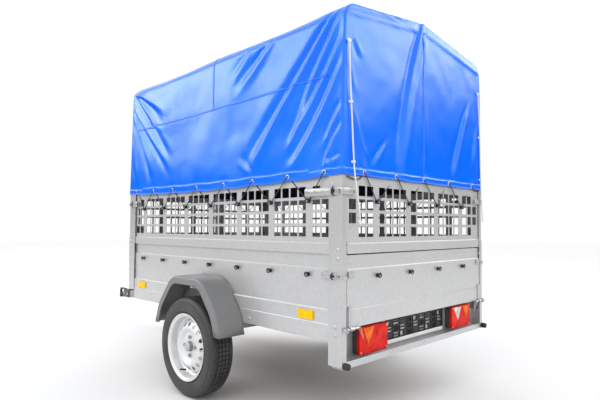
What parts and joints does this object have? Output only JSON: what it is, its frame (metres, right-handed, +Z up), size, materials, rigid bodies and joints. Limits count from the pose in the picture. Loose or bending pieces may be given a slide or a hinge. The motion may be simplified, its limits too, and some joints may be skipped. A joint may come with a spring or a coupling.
{
  "type": "single-axle garden trailer with cover",
  "caption": "Garden trailer with a folded sheet box, perforated extension sides, drop tailgate, jockey wheel, ball coupling and a tall fabric cover.",
  "frame": {"origin": "on the ground, under the middle of the whole trailer's length and width", "axes": "+X forward to the coupling, +Y left, +Z up"},
  "size_m": [3.64, 1.63, 2.007],
  "materials": {
    "zinc_sheet": "zinc-coated sheet, satin",
    "zinc_frame": "hot-dip zinc, dull",
    "rim_steel": "silver paint",
    "tyre": "black rubber",
    "black_rubber": "moulded",
    "black_plastic": "moulded",
    "guard_plastic": "moulded, satin",
    "lamp_lens": "ribbed lens",
    "reflector": "prismatic",
    "black_paint": "black paint",
    "floor_board": "film-faced board",
    "cover_fabric": "coated fabric, glossy",
    "rope": "braided"
  },
  "bodies": {
    "trailer": {"side_rails": "zinc_frame", "cross_members": "zinc_frame", "floor_board": "floor_board", "side_panel_left": "zinc_sheet", "side_panel_right": "zinc_sheet", "front_panel": "zinc_sheet", "lower_posts": "zinc_sheet", "upper_posts": "zinc_sheet", "mesh_side_left": "zinc_sheet", "mesh_side_right": "zinc_sheet", "mesh_front": "zinc_sheet", "mesh_gate": "zinc_sheet", "lamp_board": "zinc_sheet", "tail_lamp_left": "lamp_lens", "tail_lamp_right": "lamp_lens", "number_plate_holder": "black_plastic", "rubber_stops": "black_rubber", "side_reflectors": "reflector", "mudguard_left": "guard_plastic", "mudguard_right": "guard_plastic", "axle_beam": "zinc_frame", "swing_arms": "zinc_frame", "drawbar": "zinc_frame", "drawbar_brackets": "zinc_frame", "coupling_body": "black_paint", "coupling_handle": "black_paint", "jockey_clamp": "zinc_frame", "jockey_outer_tube": "zinc_sheet", "jockey_crank": "zinc_frame", "side_latches": "zinc_sheet", "hinge_brackets": "zinc_sheet", "cover_uprights": "zinc_frame", "cover_rails": "zinc_frame", "cover_roof_bars": "zinc_frame", "cover": "cover_fabric", "rope_left": "rope", "rope_right": "rope"},
    "tailgate": {"tailgate": "zinc_sheet", "tailgate_fittings": "zinc_sheet"},
    "wheel_left": {"tyre_left": "tyre", "rim_left": "rim_steel", "hub_left": "zinc_frame"},
    "wheel_right": {"tyre_right": "tyre", "rim_right": "rim_steel", "hub_right": "zinc_frame"},
    "jockey_stem": {"jockey_inner_tube": "zinc_sheet"},
    "jockey_caster": {"jockey_fork": "zinc_sheet"},
    "jockey_roller": {"jockey_wheel": "black_rubber"}
  },
  "joints": [
    {"name": "wheel_left_spin", "type": "hinge", "parent": "trailer", "child": "wheel_left", "pos_m": [-0.785, 0.735, 0.27], "axis": [0, 1, 0], "continuous": true},
    {"name": "wheel_right_spin", "type": "hinge", "parent": "trailer", "child": "wheel_right", "pos_m": [-0.785, -0.735, 0.27], "axis": [0, 1, 0], "continuous": true},
    {"name": "tailgate_hinge", "type": "hinge", "parent": "trailer", "child": "tailgate", "pos_m": [-1.8005, 0, 0.486], "axis": [0, -1, 0], "range_deg": [0, 180]},
    {"name": "jockey_lift", "type": "slide", "parent": "trailer", "child": "jockey_stem", "axis": [0, 0, 1], "range_m": [0, 0.13]},
    {"name": "jockey_swivel", "type": "hinge", "parent": "jockey_stem", "child": "jockey_caster", "pos_m": [0.91, -0.165, 0.2], "axis": [0, 0, 1], "continuous": true},
    {"name": "jockey_spin", "type": "hinge", "parent": "jockey_caster", "child": "jockey_roller", "pos_m": [0.882, -0.165, 0.1], "axis": [0, 1, 0], "continuous": true}
  ]
}
